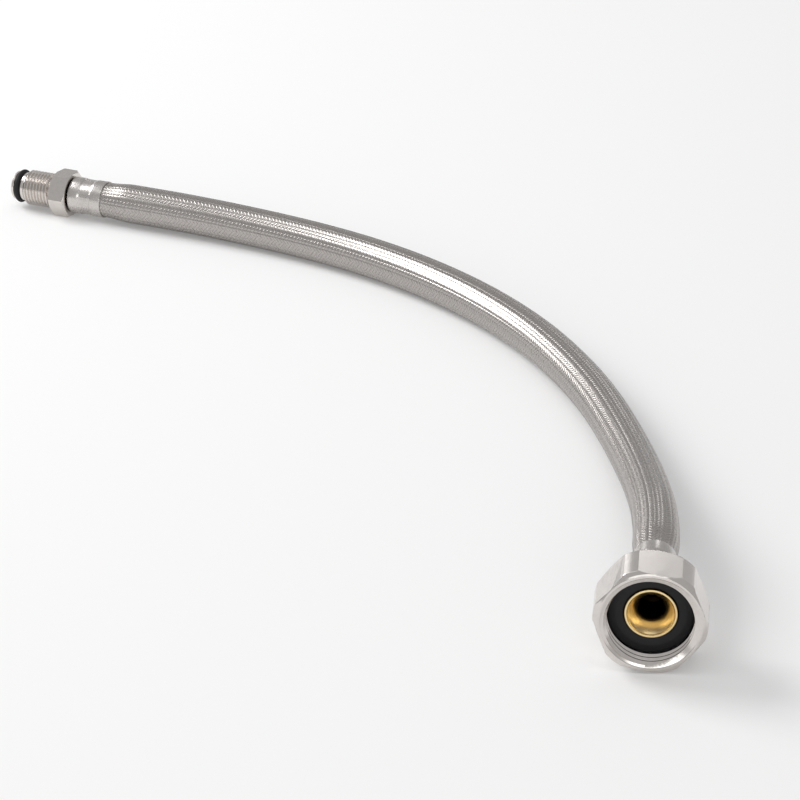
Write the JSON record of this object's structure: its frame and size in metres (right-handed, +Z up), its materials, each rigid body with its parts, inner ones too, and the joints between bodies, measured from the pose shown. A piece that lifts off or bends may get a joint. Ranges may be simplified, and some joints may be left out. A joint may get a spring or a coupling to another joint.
{
  "type": "braided faucet supply line",
  "caption": "Stainless-braided flexible water line with a swivelling hexagon coupling nut and washer at one end and a threaded faucet stem with an O-ring at the other.",
  "frame": {"origin": "on the surface that the line lies on, below the centre of the box around its two end fittings", "axes": "+Z up from the surface that the line lies on; -Y out of the coupling nut's mouth, along the nut's axis; +X to the right of a viewer who faces the mouth, with the hose sweeping off to -X"},
  "size_m": [0.2048, 0.2783, 0.0253],
  "materials": {
    "nickel_plate": "bright nickel plate on brass, warm grey",
    "crimp_sleeve": "drawn stainless sleeve, satin",
    "steel_braid": "woven stainless wire",
    "brass": "turned brass, bare",
    "spring_wire": "drawn spring wire",
    "black_rubber": "moulded black rubber, satin",
    "liner_rubber": "extruded black rubber, matt"
  },
  "bodies": {
    "line": {"wire_braid": "steel_braid", "inner_tube": "liner_rubber", "nut_insert": "brass", "sealing_washer": "black_rubber", "nut_ferrule": "crimp_sleeve", "stem_ferrule": "crimp_sleeve", "faucet_stem": "nickel_plate", "stem_o_ring": "black_rubber"},
    "nut_carrier": {"retaining_ring": "spring_wire"},
    "nut": {"coupling_nut": "nickel_plate"}
  },
  "joints": [
    {"name": "nut_slide", "type": "slide", "parent": "line", "child": "nut_carrier", "axis": [0, 1, 0], "range_m": [0, 0.003]},
    {"name": "nut_spin", "type": "hinge", "parent": "nut_carrier", "child": "nut", "pos_m": [0.089, -0.132, 0.01265], "axis": [0, -1, 0], "continuous": true}
  ]
}
